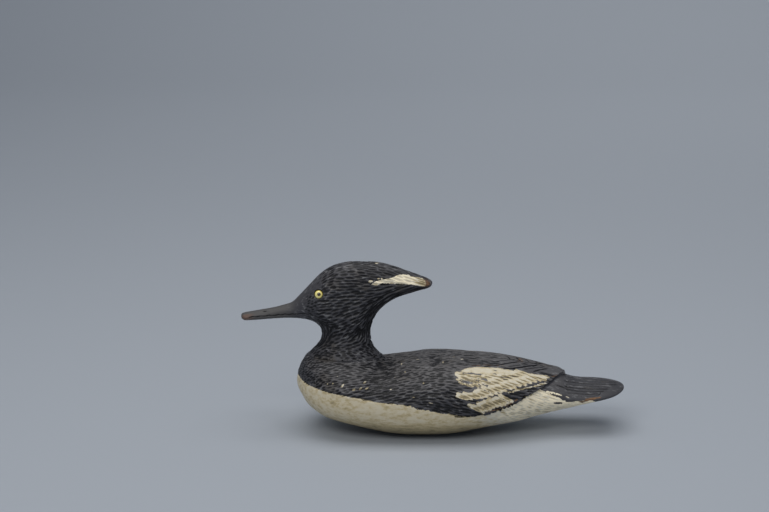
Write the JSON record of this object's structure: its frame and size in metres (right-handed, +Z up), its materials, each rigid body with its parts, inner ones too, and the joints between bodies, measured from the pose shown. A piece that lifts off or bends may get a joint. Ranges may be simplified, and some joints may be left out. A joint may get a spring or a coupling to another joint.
{
  "type": "carved duck decoy",
  "caption": "Carved and painted wooden duck decoy with a swept-back crest, slender bill, folded wings and glass eyes, resting on its rounded bottom.",
  "frame": {"origin": "on the surface the decoy rests on, under the middle of its overall length and width", "axes": "+X towards the tail, with the bill pointing along -X; +Z up; the bird is the same left and right of the XZ plane, and the side that the picture shows faces -Y"},
  "size_m": [0.3556, 0.122, 0.1597],
  "materials": {
    "body_wood": "worn flat black paint over gouged wood, cream paint on the belly and wing patches",
    "head_wood": "worn flat black paint over gouged wood, cream crest patch, smooth dark grey bill",
    "eye_glass": "polished yellow glass with a black pupil"
  },
  "bodies": {
    "root": {"body": "body_wood", "head": "head_wood", "left_eye": "eye_glass", "right_eye": "eye_glass"}
  },
  "joints": []
}
